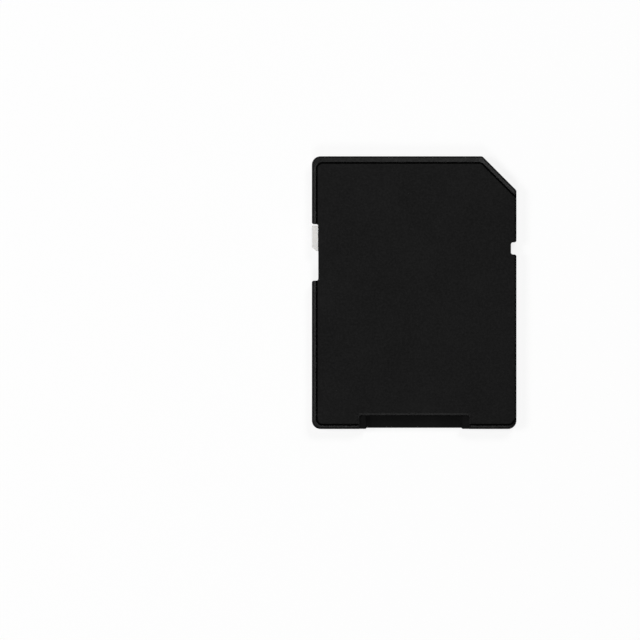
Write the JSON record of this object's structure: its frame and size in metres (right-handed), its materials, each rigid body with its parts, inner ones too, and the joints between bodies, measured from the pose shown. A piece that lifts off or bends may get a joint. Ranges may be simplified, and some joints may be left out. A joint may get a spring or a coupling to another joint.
{
  "type": "memory card adapter",
  "caption": "Thin black adapter with a cut key corner and a sliding lock tab: a slot in its trailing edge takes a micro memory card, and its contacts serve a full-size card socket.",
  "frame": {"origin": "middle of the card's outline, on the back face that it lies on", "axes": "+Z out of the bare front face, +Y towards the leading edge with the contacts, +X towards the side with the key corner"},
  "size_m": [0.024, 0.032, 0.0021],
  "materials": {
    "cover_plastic": "fine matte moulded texture",
    "slider_plastic": "satin moulded",
    "contact_gold": "gold plated over stamped copper alloy",
    "spring_steel": "rolled stainless strip"
  },
  "bodies": {
    "card": {"front_cover": "cover_plastic", "rear_cover": "cover_plastic", "card_latch_spring": "spring_steel", "terminal_data2": "contact_gold", "terminal_data3": "contact_gold", "terminal_command": "contact_gold", "terminal_supply": "contact_gold", "terminal_clock": "contact_gold", "terminal_ground": "contact_gold", "terminal_data0": "contact_gold", "terminal_data1": "contact_gold"},
    "slider": {"lock_slider": "slider_plastic"}
  },
  "joints": [
    {"name": "lock_slide", "type": "slide", "parent": "card", "child": "slider", "axis": [0, -1, 0], "range_m": [0, 0.0033]}
  ]
}
